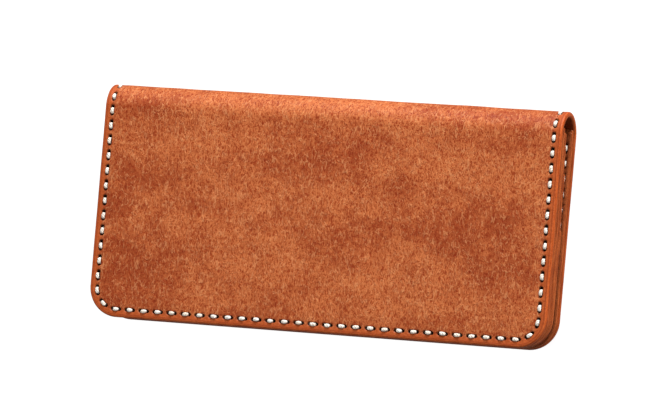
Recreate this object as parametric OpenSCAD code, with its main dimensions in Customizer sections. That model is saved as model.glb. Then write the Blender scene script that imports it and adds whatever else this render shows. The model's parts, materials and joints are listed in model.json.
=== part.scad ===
// Long bifold wallet of hand-stitched leather, shown closed and lying on its back cover.
// X runs along the fold, +Y points from the open edge to the fold, +Z is up.
// The origin is the middle of the wallet's footprint, on the surface that it lies on.
//
// Each half is drawn in a frame of its own: x along the fold, y from the open edge towards
// the fold, z from the cover's outer face inwards. back_half() and front_half() place them.

/* [Overall] */
// Length along the fold
wallet_w = 192; // [160:1:240]
// Height from the open edge to the top of the fold
wallet_h = 93; // [84:1:115]
// Thickness over both covers where the fold begins
fold_thickness = 19; // [18.5:0.5:26]
// Angle by which the closed front half leans towards the back half, in degrees
closing_lean = 1.1; // [0:0.1:1.2]
// Radius of the rounded corners at the open edge
corner_r = 12; // [6:0.5:20]

/* [Leather] */
// Thickness of the cover
cover_t = 2.2; // [1.6:0.1:2.7]
// Thickness of the full-length panels behind the card pockets
divider_t = 1.3; // [0.8:0.1:1.5]
// Thickness of each card pocket
pocket_t = 0.9; // [0.6:0.1:1.1]
// Thickness of the coin pocket's two panels
coin_panel_t = 1.05; // [0.8:0.05:1.2]
// Opening of a bill pocket at its mouth, between the cover and the first panel
mouth_gap = 1.0; // [0.8:0.1:1.2]
// Distance that the inner panels' edges stand back from the cover's edge
panel_inset = 0.3; // [0.1:0.1:1]
// Distance by which each further full-length panel is lower at the mouth
panel_stagger = 1.0; // [0:0.1:2]

/* [Fold] */
// Angle of the fold that belongs to the back cover, in degrees
back_lip_angle = 44; // [42:0.5:46]
// Angle, counted from the back cover, at which the fold's two loose pieces meet
spine_split_angle = 100; // [98:0.5:103]
// Angle of the fold that belongs to the front cover, in degrees
front_lip_angle = 48; // [46:0.5:50]
// Gap between the cover's pieces where they meet on the fold
fold_gap = 0.3; // [0.2:0.05:0.5]
// Clearance between the inner panels' mouth corners and the inside of the fold
panel_clear = 0.3; // [0.1:0.05:0.5]

/* [Card pockets] */
// Height of the highest card pocket's top edge above the open edge
pocket_top = 80; // [60:1:82]
// Drop from one card pocket's top edge to the next
pocket_step = 11; // [8:0.5:14]
// Width of the thumb notch at the middle of each card slot
notch_w = 24; // [16:1:34]
// Depth of the thumb notch
notch_d = 2.2; // [1:0.1:4]

/* [Coin pocket] */
// Height of the zipper's centre line above the open edge
zip_y = 67; // [55:1:70]
// Length of the window that shows the zipper
window_l = 164; // [120:1:170]
// Width of the window that shows the zipper
window_w = 9; // [8:0.5:12]
// Width of the flat rim around the coin pocket, where its panels are stitched together
rim_w = 7; // [6:0.5:10]
// Inside depth of the coin pocket
coin_depth = 1.65; // [1.6:0.05:2]

/* [Zipper] */
// Distance from one tooth to the next on the same tape
tooth_pitch = 2.4; // [2:0.1:3]
// Thickness of a tooth
tooth_t = 1.5; // [1.2:0.1:1.6]
// Length of a tooth across the tape
tooth_l = 2.3; // [2:0.1:3]
// Slot between the two rows of teeth
tooth_slot = 0.6; // [0.5:0.05:0.8]
// Width of each tape
tape_w = 10; // [8:0.5:11]
// Thickness of each tape
tape_t = 0.5; // [0.3:0.05:0.6]
// Length of the slider along the chain
slider_l = 9; // [7:0.5:11]
// Width of the slider across the chain
slider_w = 7.4; // [6.6:0.1:8]
// Thickness of the slider's plates
plate_t = 0.5; // [0.4:0.05:0.6]
// Running clearance between the slider and the teeth
slider_clear = 0.1; // [0.05:0.01:0.15]
// Length of the pull tab
pull_l = 24; // [16:1:30]
// Width of the pull tab
pull_w = 6; // [4:0.5:8]
// Thickness of the pull tab
pull_t = 0.9; // [0.6:0.1:1.1]
// Radius of the pull tab's pivot pin
pivot_r = 0.45; // [0.35:0.05:0.5]
// Running clearance around the pivot pin
pivot_clear = 0.08; // [0.05:0.01:0.1]

/* [Stitching] */
// Distance from one visible stitch to the next
stitch_pitch = 6; // [4:0.5:8]
// Distance of the seam from the cover's edge
stitch_inset = 3.2; // [2.5:0.1:5]
// Width of the waxed thread where it lies on the leather
thread_w = 1.1; // [0.7:0.1:1.3]
// Thickness of the waxed thread
thread_t = 0.45; // [0.3:0.05:0.6]
// Diameter of the thread inside its hole
thread_d = 0.8; // [0.5:0.1:1]

/* [Hidden] */
$fn = 48;

leather = [0.72, 0.38, 0.22];
inner_leather = [0.76, 0.47, 0.30];
brass = [0.78, 0.62, 0.30];
tape_colour = [0.30, 0.19, 0.12];
thread_colour = [0.94, 0.91, 0.84];

// Distance by which a cutting shape passes what it cuts.
over = 1;

// The fold is an arc of fold_turn degrees about a line along X through fold_y and fold_r.
fold_r = fold_thickness / 2;
fold_in_r = fold_r - cover_t;
fold_turn = 180 + closing_lean;
fold_y = wallet_h / 2 - fold_r;
flat_h = wallet_h - fold_r;
front_split_angle = fold_turn - front_lip_angle;
gap_angle = fold_gap / fold_r * 180 / PI;

// The inner panels lean away from the cover, so that a bill pocket opens at its mouth.
mouth_lean = atan(mouth_gap / flat_h);
panel_overrun = sqrt(pow(fold_in_r, 2) - pow(fold_in_r - mouth_gap + panel_clear, 2));
panel_h = flat_h + panel_overrun;
panel_w = wallet_w - 2 * panel_inset;
panel_r = corner_r - panel_inset;
card_z = 3 * divider_t;
pocket_count = 4;

// The zipper's tapes lie against the underside of the raised part of the coin pocket.
pocket_floor = coin_panel_t;
pocket_roof = pocket_floor + coin_depth;
coin_top = pocket_roof + coin_panel_t;
tape_z = pocket_roof - tape_t;
chain_z = tape_z + tape_t / 2;
tape_overlap = 3;
tape_set_back = 0.9;
tooth_share = 0.55;

// The chain of teeth leaves room in the window for the slider, past either end.
chain_end_room = 3;
chain_l = window_l - 2 * (slider_l + chain_end_room);
end_gap = 0.3;
stop_l = 1.5;
stop_w = 1.8;

// The slider lies past the last teeth, with the pull tab's pivot over its wide end.
channel_h = tooth_t + 2 * slider_clear;
slider_t = channel_h + 2 * plate_t;
slider_x = chain_l / 2 + slider_l / 2 + end_gap;
slider_nose_r = slider_w * 0.7;
post_l = slider_l / 2;
post_w = tooth_slot - 2 * slider_clear;
lug_w = 1.1;
lug_l = 2.6;
lug_inset = 1.2;
lug_set_back = 0.4;
lug_outer_y = slider_w / 2 - lug_inset;
pull_gap = 0.15;
pull_eye_w = 2 * (lug_outer_y - lug_w - slider_clear);
pull_hole_d = pull_w * 0.45;
pivot_x = slider_x + slider_l / 2 - lug_l / 2 - lug_set_back;
pivot_z = max(slider_t / 2 + chain_z, coin_top) + pull_gap + pull_t / 2;
lug_top = pivot_z + pull_t / 2 + pull_gap;

// Distance of the seam around the zipper from the window's edge.
window_seam = 2.5;

// The seam runs from the middle of the open edge, round a corner and up to the fold.
seam_r = corner_r - stitch_inset;
straight_run = wallet_w / 2 - corner_r;
corner_run = PI / 2 * seam_r;
half_run = straight_run + corner_run + flat_h - corner_r;
hole_step = stitch_pitch / 4;
flat_count = floor(half_run / stitch_pitch);
fold_hole_angle = hole_step / fold_r * 180 / PI;
fold_pitch_angle = stitch_pitch / fold_r * 180 / PI;
first_fold_angle = ((flat_count + 1) * stitch_pitch - half_run) / fold_r * 180 / PI;
fold_end_angle = (hole_step + thread_w / 2) / fold_r * 180 / PI;

// Where a point of the seam lies, s being its distance along the seam from the middle.
function seam_angle(s) = min(max((s - straight_run) / seam_r * 180 / PI, 0), 90);
function seam_rise(s) = max(s - straight_run - corner_run, 0);
function seam_x(s) = min(s, straight_run) + seam_r * sin(seam_angle(s));
function seam_y(s) = corner_r - seam_r * cos(seam_angle(s)) + seam_rise(s);

// Height of the front half's topmost leather at y, measured from the leaning panels' base.
function pocket_edge(k) = pocket_top - (k - 1) * pocket_step;
function pockets_at(y) = len([for (k = [1:pocket_count]) if (y < pocket_edge(k)) k]);
function front_top(y) = card_z + pockets_at(y) * pocket_t;

// ---- Frames of the two halves ----

module back_half() {
    translate([0, -wallet_h / 2, 0]) children();
}

module front_half() {
    translate([0, fold_y, fold_r])
        rotate([fold_turn, 0, 0])
            translate([0, flat_h, -fold_r])
                rotate([0, 0, 180]) children();
}

// The leaning stack of inner panels, from the cover's inner face inwards.
module inner_stack() {
    translate([0, 0, cover_t]) rotate([mouth_lean, 0, 0]) children();
}

// ---- Leather ----

// A sheet's outline: square at the fold, rounded at the open edge.
module sheet_outline(w, h, r) {
    difference() {
        translate([-w / 2, 0]) square([w, h]);
        for (side = [-1, 1])
            translate([side * w / 2, 0]) mirror([side > 0 ? 1 : 0, 0]) corner_waste(r);
    }
}

module corner_waste(r) {
    difference() {
        translate([-over, -over]) square([r + over, r + over]);
        translate([r, r]) circle(r);
    }
}

module panel(h, z, t) {
    translate([0, panel_inset, z])
        linear_extrude(t) sheet_outline(panel_w, h - panel_inset, panel_r);
}

module cover_flat() {
    linear_extrude(cover_t) sheet_outline(wallet_w, flat_h, corner_r);
}

// A stretch of the fold in a half's frame, between two angles counted from the flat.
module fold_arc(from, to) {
    translate([-wallet_w / 2, flat_h, fold_r])
        rotate([0, 90, 0])
            rotate([0, 0, from])
                rotate_extrude(angle = to - from)
                    translate([fold_in_r, 0]) square([cover_t, wallet_w]);
}

module cover_half(lip_angle) {
    color(leather) union() {
        cover_flat();
        fold_arc(0, lip_angle);
    }
}

module cover_back() {
    back_half() cover_half(back_lip_angle);
}

module cover_front() {
    front_half() cover_half(front_lip_angle);
}

module cover_spine_lower() {
    color(leather) back_half()
        fold_arc(back_lip_angle + gap_angle, spine_split_angle - gap_angle / 2);
}

module cover_spine_upper() {
    color(leather) back_half()
        fold_arc(spine_split_angle + gap_angle / 2, front_split_angle - gap_angle);
}

module bill_divider() {
    color(inner_leather) front_half() inner_stack() panel(panel_h, 0, divider_t);
}

module note_divider() {
    color(inner_leather) front_half() inner_stack()
        panel(panel_h - panel_stagger, divider_t, divider_t);
}

module card_base_panel() {
    color(inner_leather) front_half() inner_stack()
        panel(panel_h - 2 * panel_stagger, 2 * divider_t, divider_t);
}

// A card pocket crosses the whole width, with a thumb notch over each of its two slots.
module card_pocket(k) {
    notch_r = (pow(notch_w / 2, 2) + pow(notch_d, 2)) / (2 * notch_d);
    z = card_z + (k - 1) * pocket_t;
    color(inner_leather) front_half() inner_stack() difference() {
        panel(pocket_edge(k), z, pocket_t);
        for (side = [-1, 1])
            translate([side * wallet_w / 4, pocket_edge(k) + notch_r - notch_d, z - over])
                cylinder(r = notch_r, h = pocket_t + 2 * over);
    }
}

module card_pocket_1() { card_pocket(1); }
module card_pocket_2() { card_pocket(2); }
module card_pocket_3() { card_pocket(3); }
module card_pocket_4() { card_pocket(4); }

module coin_pocket_rear_panel() {
    color(inner_leather) back_half() inner_stack()
        panel(panel_h, 0, coin_panel_t);
}

// The raised part of the coin pocket, drawn smaller by inset on every side.
module pocket_bulge(inset, z, t) {
    w = wallet_w - 2 * (rim_w + inset);
    h = panel_h - panel_stagger - rim_w - rim_w / 2 - 2 * inset;
    translate([-w / 2, rim_w + inset, z]) cube([w, h, t]);
}

module window() {
    translate([0, zip_y, 0]) linear_extrude(2 * coin_top) {
        square([window_l - window_w, window_w], center = true);
        for (side = [-1, 1])
            translate([side * (window_l - window_w) / 2, 0]) circle(d = window_w);
    }
}

module coin_pocket_panel() {
    bulge_z = pocket_floor + coin_panel_t / 2;
    color(inner_leather) back_half() inner_stack() difference() {
        union() {
            panel(panel_h - panel_stagger, coin_panel_t, coin_panel_t);
            pocket_bulge(0, bulge_z, coin_top - bulge_z);
        }
        pocket_bulge(coin_panel_t, pocket_floor - over, coin_depth + over);
        window();
    }
}

// ---- Zipper ----

module zip_frame() {
    back_half() inner_stack() translate([0, zip_y, 0]) children();
}

module zipper_tape(side) {
    color(tape_colour) zip_frame()
        translate([0, side * (tooth_slot / 2 + tape_set_back + tape_w / 2), tape_z + tape_t / 2])
            cube([window_l + 2 * tape_overlap, tape_w, tape_t], center = true);
}

module zipper_tape_upper() { zipper_tape(1); }
module zipper_tape_lower() { zipper_tape(-1); }

// One row of teeth; the other row is set off by half a pitch.
module zipper_teeth(side, offset) {
    count = floor(chain_l / tooth_pitch);
    color(brass) zip_frame() for (i = [0:count - 1])
        translate([(i + offset - count / 2) * tooth_pitch, side * (tooth_slot + tooth_l) / 2, chain_z])
            cube([tooth_pitch * tooth_share, tooth_l, tooth_t], center = true);
}

module zipper_teeth_upper() { zipper_teeth(1, 0.25); }
module zipper_teeth_lower() { zipper_teeth(-1, 0.75); }

// Two stops end the chain past the slider, and one across both tapes at the other end.
module zipper_stops() {
    closed_x = slider_x + slider_l / 2 + end_gap + stop_l / 2;
    open_x = -chain_l / 2 - end_gap - stop_l / 2;
    color(brass) zip_frame() translate([0, 0, chain_z]) {
        for (side = [-1, 1])
            translate([closed_x, side * (tooth_slot + stop_w) / 2, 0])
                cube([stop_l, stop_w, tooth_t], center = true);
        translate([open_x, 0, 0])
            cube([stop_l, tooth_slot + 2 * tooth_l, tooth_t], center = true);
    }
}

// The slider's two plates, joined by a thin post that runs in the slot between the rows.
module zipper_slider() {
    lug_y = lug_outer_y - lug_w / 2;
    lug_z = chain_z + slider_t / 2 - plate_t / 2;
    color(brass) zip_frame() difference() {
        union() {
            translate([slider_x, 0, chain_z]) {
                for (side = [-1, 1])
                    translate([0, 0, side * (channel_h + plate_t) / 2])
                        slider_plate();
                cube([post_l, post_w, slider_t - plate_t], center = true);
            }
            for (side = [-1, 1])
                translate([pivot_x - lug_l / 2, side * lug_y - lug_w / 2, lug_z])
                    cube([lug_l, lug_w, lug_top - lug_z]);
        }
        translate([pivot_x, slider_w / 2, pivot_z])
            rotate([90, 0, 0]) cylinder(r = pivot_r + pivot_clear, h = slider_w);
    }
}

module slider_plate() {
    translate([0, 0, -plate_t / 2]) linear_extrude(plate_t) intersection() {
        square([slider_l, slider_w], center = true);
        translate([slider_l / 2 - slider_nose_r, 0]) circle(slider_nose_r);
    }
}

// The pull's flat tab carries a pin that turns in the slider's two lugs.
module zipper_pull() {
    color(brass) zip_frame() translate([pivot_x, 0, pivot_z]) difference() {
        union() {
            translate([-pull_l / 2, 0, 0])
                cube([pull_l - 2 * pull_t, pull_eye_w, pull_t], center = true);
            translate([-pull_l + pull_w, 0, 0])
                cube([2 * pull_w, pull_w, pull_t], center = true);
            translate([-pull_l, 0, -pull_t / 2]) cylinder(d = pull_w, h = pull_t);
            rotate([90, 0, 0]) cylinder(r = pull_t / 2, h = pull_eye_w, center = true);
            translate([-pull_t, 0, 0]) cube([2 * pull_t, pull_eye_w, pull_t], center = true);
            rotate([90, 0, 0]) cylinder(r = pivot_r, h = 2 * lug_outer_y, center = true);
        }
        translate([-pull_l, 0, -pull_t]) cylinder(d = pull_hole_d, h = 2 * pull_t);
    }
}

// ---- Stitching ----

// A stitch's visible bar, from one hole to the next.
module stitch_bar(run, t) {
    linear_extrude(t) {
        square([run, thread_w], center = true);
        for (side = [-1, 1])
            translate([side * run / 2, 0]) circle(d = thread_w);
    }
}

// Places a child on the seam, with the seam's direction along its x.
module on_seam(s, side) {
    translate([side * seam_x(s), seam_y(s), 0]) rotate([0, 0, side * seam_angle(s)]) children();
}

module thread_leg(top) {
    translate([0, 0, thread_t / 2])
        cylinder(d = thread_d, h = top - thread_t);
}

// The running stitch of one half: bars on the cover, legs through every layer, and bars
// on the innermost leather over every other gap. top_at gives that leather's height.
module half_seam(top_at) {
    lean = tan(mouth_lean);
    for (i = [0:flat_count]) for (side = i == 0 ? [1] : [-1, 1]) {
        on_seam(i * stitch_pitch, side) stitch_bar(2 * hole_step, thread_t);
        for (end = i == 0 ? [1] : [-1, 1]) {
            s = i * stitch_pitch + end * hole_step;
            top = top_at(seam_y(s + end * hole_step));
            on_seam(s, side) thread_leg(cover_t + seam_y(s) * lean + top + thread_t);
        }
    }
    on_seam(hole_step, -1)
        thread_leg(cover_t + stitch_inset * lean + top_at(stitch_inset) + thread_t);
    for (i = [0:flat_count - 1]) for (side = [-1, 1]) {
        s = (i + 0.5) * stitch_pitch;
        inner_stack() translate([0, 0, top_at(seam_y(s))])
            on_seam(s, side) stitch_bar(2 * hole_step, thread_t);
    }
}

// A stitch on the fold, at an angle counted from the flat in a half's frame.
module fold_stitch(angle) {
    for (side = [-1, 1])
        translate([side * (wallet_w / 2 - stitch_inset) - thread_w / 2, flat_h, fold_r])
            rotate([0, 90, 0]) rotate([0, 0, angle - fold_end_angle]) {
                rotate_extrude(angle = 2 * fold_end_angle)
                    translate([fold_r - thread_t, 0]) square([thread_t, thread_w]);
                for (end = [-1, 1])
                    rotate([0, 0, fold_end_angle + end * fold_hole_angle])
                        translate([fold_in_r, 0, thread_w / 2]) rotate([0, 90, 0])
                            cylinder(d = thread_d, h = cover_t - thread_t / 2);
            }
}

// The stitches of a half that carry on over its own lip of the fold.
module lip_stitches(lip_angle) {
    last = lip_angle - fold_end_angle;
    for (angle = [first_fold_angle:fold_pitch_angle:last]) fold_stitch(angle);
}

// The stitches of a loose piece of the fold, spread evenly about its middle.
module spine_stitches(from, to) {
    room = to - from - 2 * fold_end_angle;
    count = 1 + floor(room / fold_pitch_angle);
    color(thread_colour) back_half() for (i = [0:count - 1])
        fold_stitch((from + to) / 2 + (i - (count - 1) / 2) * fold_pitch_angle);
}

module seam_thread_back() {
    color(thread_colour) back_half() {
        half_seam(function(y) 2 * coin_panel_t);
        lip_stitches(back_lip_angle);
    }
}

module seam_thread_front() {
    color(thread_colour) front_half() {
        half_seam(function(y) front_top(y));
        lip_stitches(front_lip_angle);
    }
}

module seam_thread_spine_lower() {
    spine_stitches(back_lip_angle + gap_angle, spine_split_angle - gap_angle / 2);
}

module seam_thread_spine_upper() {
    spine_stitches(spine_split_angle + gap_angle / 2, front_split_angle - gap_angle);
}

// The seam between the two columns of card slots, through the pockets and their base.
module card_pocket_thread() {
    count = floor(pocket_top / stitch_pitch) - 2;
    color(thread_colour) front_half() inner_stack() for (i = [0:count - 1]) {
        y = pocket_top - (i + 0.5) * stitch_pitch;
        translate([0, y, front_top(y)]) rotate([0, 0, 90]) stitch_bar(2 * hole_step, thread_t);
        for (end = [-1, 1])
            translate([0, y + end * hole_step, 2 * divider_t])
                cylinder(d = thread_d, h = front_top(y) - 2 * divider_t + thread_t / 2);
    }
}

// The seam around the zipper's window, through the coin pocket's panel and both tapes.
module zipper_thread() {
    row_y = window_w / 2 + window_seam;
    count = floor(window_l / stitch_pitch);
    color(thread_colour) zip_frame() for (i = [0:count - 1]) for (side = [-1, 1])
        translate([(i + 0.5 - count / 2) * stitch_pitch, side * row_y, 0]) {
            translate([0, 0, coin_top]) stitch_bar(2 * hole_step, thread_t);
            for (end = [-1, 1])
                translate([end * hole_step, 0, tape_z])
                    cylinder(d = thread_d, h = coin_top - tape_z + thread_t / 2);
        }
}

cover_back();
coin_pocket_rear_panel();
coin_pocket_panel();
zipper_tape_upper();
zipper_tape_lower();
zipper_teeth_upper();
zipper_teeth_lower();
zipper_stops();
zipper_thread();
seam_thread_back();
zipper_slider();
zipper_pull();
cover_spine_lower();
cover_spine_upper();
seam_thread_spine_lower();
seam_thread_spine_upper();
cover_front();
bill_divider();
note_divider();
card_base_panel();
card_pocket_1();
card_pocket_2();
card_pocket_3();
card_pocket_4();
card_pocket_thread();
seam_thread_front();
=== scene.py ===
"""The looks of a closed, hand-stitched leather long wallet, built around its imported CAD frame.

Lengths inside this script are millimetres in the row frame; they turn into metres when a mesh is
made. A sheet of leather is drawn flat first, as a pattern: x along the fold, v away from the back
cover's open edge, and n the depth from the outer face inwards. It is then bent over the fold.
"""
import json
import math

import bmesh
import bpy
import numpy as np
from mathutils import Matrix, Vector


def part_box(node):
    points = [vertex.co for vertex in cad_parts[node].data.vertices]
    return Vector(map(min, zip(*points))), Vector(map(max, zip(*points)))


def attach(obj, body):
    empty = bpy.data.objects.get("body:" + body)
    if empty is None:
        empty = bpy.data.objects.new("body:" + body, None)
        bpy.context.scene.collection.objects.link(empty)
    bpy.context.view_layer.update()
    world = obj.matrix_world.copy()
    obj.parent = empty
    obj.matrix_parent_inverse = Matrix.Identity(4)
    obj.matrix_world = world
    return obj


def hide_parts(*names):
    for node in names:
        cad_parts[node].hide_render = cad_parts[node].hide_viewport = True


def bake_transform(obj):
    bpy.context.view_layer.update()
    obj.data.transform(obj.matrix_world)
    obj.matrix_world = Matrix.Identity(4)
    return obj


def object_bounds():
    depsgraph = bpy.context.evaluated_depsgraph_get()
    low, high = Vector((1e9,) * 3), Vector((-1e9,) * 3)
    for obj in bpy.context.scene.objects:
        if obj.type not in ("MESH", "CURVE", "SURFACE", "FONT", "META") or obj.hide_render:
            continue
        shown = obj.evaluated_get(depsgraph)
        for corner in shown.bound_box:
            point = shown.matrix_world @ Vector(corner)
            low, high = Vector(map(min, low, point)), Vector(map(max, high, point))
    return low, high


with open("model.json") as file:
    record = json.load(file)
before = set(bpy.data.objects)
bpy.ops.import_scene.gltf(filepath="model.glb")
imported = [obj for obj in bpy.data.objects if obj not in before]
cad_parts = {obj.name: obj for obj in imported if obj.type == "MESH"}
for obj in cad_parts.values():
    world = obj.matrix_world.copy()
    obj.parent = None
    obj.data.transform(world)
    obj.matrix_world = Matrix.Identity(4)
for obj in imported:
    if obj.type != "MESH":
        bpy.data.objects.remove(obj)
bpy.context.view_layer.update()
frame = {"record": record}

MM = 0.001

# --- Sizes, worked out from the frame ---


def circle_through(a, b, c):
    """Centre and radius of the circle through three points of a plane."""
    (ax, ay), (bx, by), (cx, cy) = a, b, c
    d = 2 * (ax * (by - cy) + bx * (cy - ay) + cx * (ay - by))
    sa, sb, sc = ax * ax + ay * ay, bx * bx + by * by, cx * cx + cy * cy
    x = (sa * (by - cy) + sb * (cy - ay) + sc * (ay - by)) / d
    y = (sa * (cx - bx) + sb * (ax - cx) + sc * (bx - ax)) / d
    return (x, y), math.hypot(ax - x, ay - y)


joints = {j["name"]: j for j in frame["record"]["behaviour"]["joints"]}
hinge_names = ("fold_lower", "fold_middle", "fold_upper")
hinges = [tuple(v / MM for v in joints[name]["pos_m"][1:]) for name in hinge_names]
(FOLD_Y, FOLD_R), HINGE_R = circle_through(*hinges)


def fold_angle_of(point):
    """Angle of a point about the fold's centre, counted from straight down."""
    return math.atan2(point[0] - FOLD_Y, FOLD_R - point[1])


# Each hinge stands in for an equal share of the fold's turn.
SHARE = fold_angle_of(hinges[1]) - fold_angle_of(hinges[0])
TURN = 3 * SHARE
COVER_T = 2 * (FOLD_R - HINGE_R * math.sin(SHARE / 2) / (SHARE / 2))

cover_low, cover_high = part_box("cover_back")
WIDTH = (cover_high.x - cover_low.x) / MM
OPEN_Y = cover_low.y / MM
FLAT = FOLD_Y - OPEN_Y
ARC = FOLD_R * TURN
PATTERN = 2 * FLAT + ARC
# Each half's panels lean, so that the pocket behind them stands open at its mouth by the fold.
MOUTH_GAP = 1.0
LEAN = math.atan(MOUTH_GAP / FLAT)

# The CAD's sizes that the record doesn't hold.
CORNER_R, PITCH, INSET, PANEL_INSET = 12.0, 6.0, 3.2, 0.3
DIVIDER_T, POCKET_T, COIN_T = 1.3, 0.9, 1.05
# Half the length of a stitch, and how far from its middle its two holes' round ends lie.
HOLE_STEP, HOLE_AT = PITCH / 4, 1.42
HOLE_R, HOLE_RIM = 0.60, 0.36


# --- From the flat pattern and the halves' own frames to the row frame ---


def smooth(t):
    """A soft step from 0 to 1."""
    t = np.clip(t, 0, 1)
    return t * t * (3 - 2 * t)


def bell(distance, width):
    return np.exp(-((distance / width) ** 2))


def on_cover(x, v, n):
    """Points of the cover: x along the fold, v along its outer face, n inwards."""
    x, v, n = (np.asarray(c, float) for c in np.broadcast_arrays(x, v, n))
    turn = np.clip((v - FLAT) / FOLD_R, 0, TURN)
    along = np.where(v < FLAT, v - FLAT, np.maximum(v - FLAT - ARC, 0))
    r = FOLD_R - n
    y = FOLD_Y + r * np.sin(turn) + along * np.cos(turn)
    z = FOLD_R - r * np.cos(turn) + along * np.sin(turn)
    return np.stack([x, y, z], -1)


def in_back(x, y, z):
    """Points of the back half: y from its open edge, z inwards from its outer face."""
    x, y, z = np.broadcast_arrays(x, y, z)
    return np.stack([x, OPEN_Y + y, z], -1).astype(float)


def in_front(x, y, z):
    """Points of the front half, in the same terms as in_back."""
    x, y, z = np.broadcast_arrays(x, y, z)
    along, up = FLAT - y, z - FOLD_R
    c, s = math.cos(TURN), math.sin(TURN)
    return np.stack([x, FOLD_Y + along * c - up * s, FOLD_R + along * s + up * c], -1).astype(float)


def in_stack(half, x, y, z):
    """Points of a half's leaning stack of panels: z from the stack's base inwards."""
    c, s = math.cos(LEAN), math.sin(LEAN)
    return half(x, y * c - z * s, COVER_T + y * s + z * c)


def waves(seed, count, longest, shortest):
    """A smooth random height over a sheet, as a sum of waves, from about -1 to 1."""
    r = np.random.default_rng(seed)
    length = np.exp(r.uniform(np.log(shortest), np.log(longest), count))
    angle = r.uniform(0, 2 * np.pi, count)
    phase = r.uniform(0, 2 * np.pi, count)
    kx, kv = 2 * np.pi / length * np.cos(angle), 2 * np.pi / length * np.sin(angle)
    weight = length / length.sum() * 1.6

    def height(x, v):
        x, v = np.asarray(x, float), np.asarray(v, float)
        return sum(w * np.sin(a * x + b * v + p) for w, a, b, p in zip(weight, kx, kv, phase))

    return height


# --- The seam ---

SEAM_R = CORNER_R - INSET
STRAIGHT_RUN = WIDTH / 2 - CORNER_R
CORNER_RUN = math.pi / 2 * SEAM_R
HALF_RUN = STRAIGHT_RUN + CORNER_RUN + FLAT - CORNER_R


def seam_point(s, q):
    """x and v at a distance s along the seam from the middle of the open edge, q inside it."""
    s, q = np.broadcast_arrays(np.asarray(s, float), np.asarray(q, float))
    angle = np.clip((s - STRAIGHT_RUN) / SEAM_R, 0, math.pi / 2)
    rise = np.maximum(s - STRAIGHT_RUN - CORNER_RUN, 0)
    x = np.minimum(s, STRAIGHT_RUN) + (SEAM_R - q) * np.sin(angle)
    v = CORNER_R - (SEAM_R - q) * np.cos(angle) + rise
    return x, v


def seam_place(x, v):
    """The reverse of seam_point, for a point near the seam: s and q. Elsewhere q is large."""
    x = np.abs(x)
    cx, cv = x - STRAIGHT_RUN, CORNER_R - v
    corner = (cx > 0) & (cv > 0)
    side = (cx > 0) & (cv <= 0)
    s = np.where(corner, STRAIGHT_RUN + SEAM_R * np.arctan2(cx, np.maximum(cv, 1e-9)), x)
    s = np.where(side, STRAIGHT_RUN + CORNER_RUN - cv, s)
    q = np.where(corner, SEAM_R - np.hypot(cx, cv), v - INSET)
    return s, np.where(side, WIDTH / 2 - INSET - x, q)


# Stitches of one quarter of the cover: on the flat, on the lip, and on the fold's middle.
FLAT_STITCHES = PITCH * np.arange(math.floor(HALF_RUN / PITCH) + 1)
LIP_STITCH = FLAT_STITCHES[-1] + PITCH
FOLD_STEP = (2 * HALF_RUN + ARC - 2 * LIP_STITCH) / 3
OUTER_STITCHES = np.append(FLAT_STITCHES, [LIP_STITCH, LIP_STITCH + FOLD_STEP])
INNER_STITCHES = FLAT_STITCHES[:-1] + PITCH / 2
# The awl went in at a slant, so on the back half's inner face the seam runs nearer to the edge.
BACK_SLANT = 0.75


def seam_marks(x, v, centres, slant=0.0):
    """A seam's holes, its stitches' grooves and the valley that it pulls the leather into."""
    s, q = seam_place(x, v)
    q = q + slant
    near = centres[np.clip(np.searchsorted((centres[1:] + centres[:-1]) / 2, s), 0, len(centres) - 1)]
    run = np.abs(s - near)
    beyond = np.maximum(run - HOLE_STEP, 0)
    # The hole mask sinks each hole and is also its painted shade, near black.
    hole = 1 - smooth((np.hypot(np.maximum(run - HOLE_AT, 0), q) - HOLE_R) / HOLE_RIM)
    groove = 1 - smooth((np.hypot((run - HOLE_AT) * 0.85, q) - 0.3) / 0.5)
    valley = bell(q, 2.0) * (0.55 + 0.45 * bell(beyond, 1.1))
    return hole, groove, valley


# --- Meshes ---


def quads(index):
    """Faces of a grid of vertex numbers."""
    a, b, c, d = index[:-1, :-1], index[:-1, 1:], index[1:, 1:], index[1:, :-1]
    return np.stack([a, b, c, d], -1).reshape(-1, 4).tolist()


def add_mesh(name, points, faces, material, slot, **values):
    """A smooth mesh in metres from points in millimetres, with its per-point values."""
    mesh = bpy.data.meshes.new(name)
    mesh.from_pydata((np.asarray(points) * MM).tolist(), [], faces)
    for key, value in values.items():
        value = np.asarray(value, np.float32)
        kind, field = ("FLOAT_VECTOR", "vector") if value.ndim == 2 else ("FLOAT", "value")
        mesh.attributes.new(key, kind, "POINT").data.foreach_set(field, value.ravel())
    mesh.polygons.foreach_set("use_smooth", [True] * len(mesh.polygons))
    mesh.materials.append(material)
    mesh.validate()
    mesh.update()
    piece = bpy.data.objects.new(name, mesh)
    bpy.context.scene.collection.objects.link(piece)
    return piece


def turn_outwards(points, faces):
    """The faces, turned over if the closed surface that they make is inside out."""
    volume = 0.0
    for f in faces[:: max(1, len(faces) // 200000)]:
        a = points[f[0]]
        for i in range(1, len(f) - 1):
            volume += float(np.dot(a, np.cross(points[f[i]], points[f[i + 1]])))
    return faces if volume > 0 else [list(reversed(f)) for f in faces]


FINE_PER_COARSE = 4


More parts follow.
